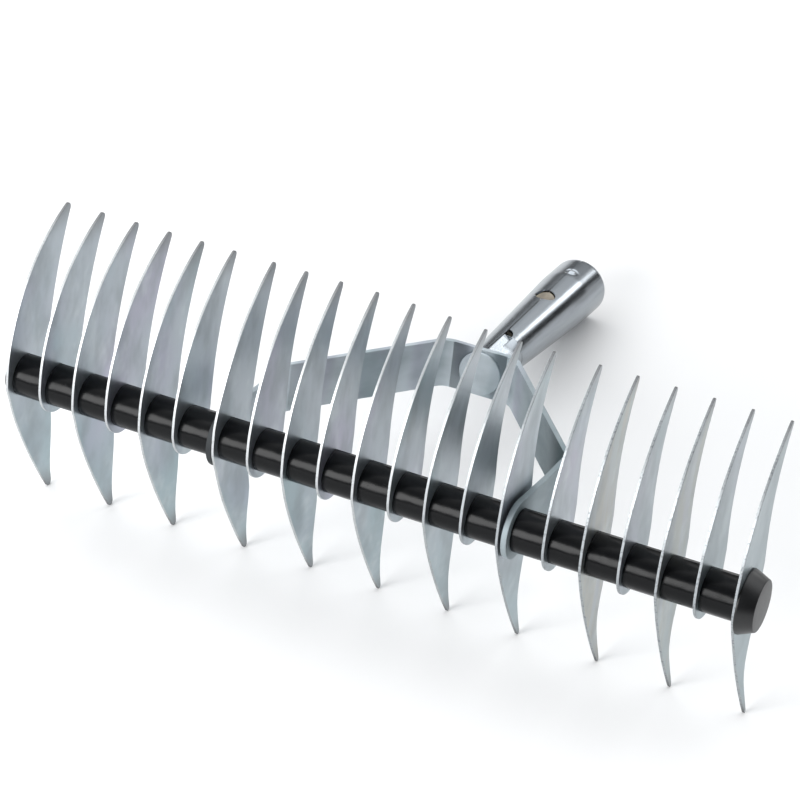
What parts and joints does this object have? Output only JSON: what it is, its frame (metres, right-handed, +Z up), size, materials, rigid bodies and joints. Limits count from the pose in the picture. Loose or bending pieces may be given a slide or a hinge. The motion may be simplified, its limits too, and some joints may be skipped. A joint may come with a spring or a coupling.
{
  "type": "thatch rake head",
  "caption": "Thatch rake head: a swinging row of crescent steel blades with black spacers on an axle, held by a bent bow with a tapered handle socket.",
  "frame": {"origin": "middle of the bounding box on the ground that the head stands on", "axes": "+X along the axle to the right, seen from the blades' bulging front; +Y level, from the blades to the handle socket; +Z up"},
  "size_m": [0.39, 0.2806, 0.1478],
  "materials": {
    "zinc_blade": "zinc-plated sheet, satin, with faint blue, lilac and straw passivation tints",
    "zinc_bow": "zinc-plated strip and rolled sheet, half bright, blue-grey",
    "steel_hardware": "plain bright steel rod, nut, washer and bushes",
    "black_spacer": "glossy black moulded tube",
    "black_cap": "black end cap, satin on its flat face"
  },
  "bodies": {
    "bow_and_socket": {"bow": "zinc_bow", "socket": "zinc_bow", "bow_rivet": "zinc_bow"},
    "blade_row": {"axle": "steel_hardware", "pivot_bushes": "steel_hardware", "axle_washer": "steel_hardware", "axle_nut": "steel_hardware", "end_cap_left": "black_cap", "end_cap_right": "black_cap", "blade_long_01": "zinc_blade", "blade_short_02": "zinc_blade", "blade_long_03": "zinc_blade", "blade_short_04": "zinc_blade", "blade_long_05": "zinc_blade", "blade_short_06": "zinc_blade", "blade_long_07": "zinc_blade", "blade_short_08": "zinc_blade", "blade_long_09": "zinc_blade", "blade_short_10": "zinc_blade", "blade_long_11": "zinc_blade", "blade_short_12": "zinc_blade", "blade_long_13": "zinc_blade", "blade_short_14": "zinc_blade", "blade_long_15": "zinc_blade", "blade_short_16": "zinc_blade", "blade_long_17": "zinc_blade", "blade_short_18": "zinc_blade", "blade_long_19": "zinc_blade", "blade_short_20": "zinc_blade", "blade_long_21": "zinc_blade", "spacer_01": "black_spacer", "spacer_02": "black_spacer", "spacer_03": "black_spacer", "spacer_04": "black_spacer", "spacer_05": "black_spacer", "spacer_06": "black_spacer", "spacer_07": "black_spacer", "spacer_08": "black_spacer", "spacer_09": "black_spacer", "spacer_10": "black_spacer", "spacer_11": "black_spacer", "spacer_12": "black_spacer", "spacer_13": "black_spacer", "spacer_14": "black_spacer", "spacer_15": "black_spacer", "spacer_16": "black_spacer", "spacer_17": "black_spacer", "spacer_18": "black_spacer", "spacer_19": "black_spacer", "spacer_20": "black_spacer"}
  },
  "joints": [
    {"name": "row_swing", "type": "hinge", "parent": "bow_and_socket", "child": "blade_row", "pos_m": [-0.00258, -0.12531, 0.07821], "axis": [1, 0, 0], "range_deg": [-48, 50]}
  ]
}
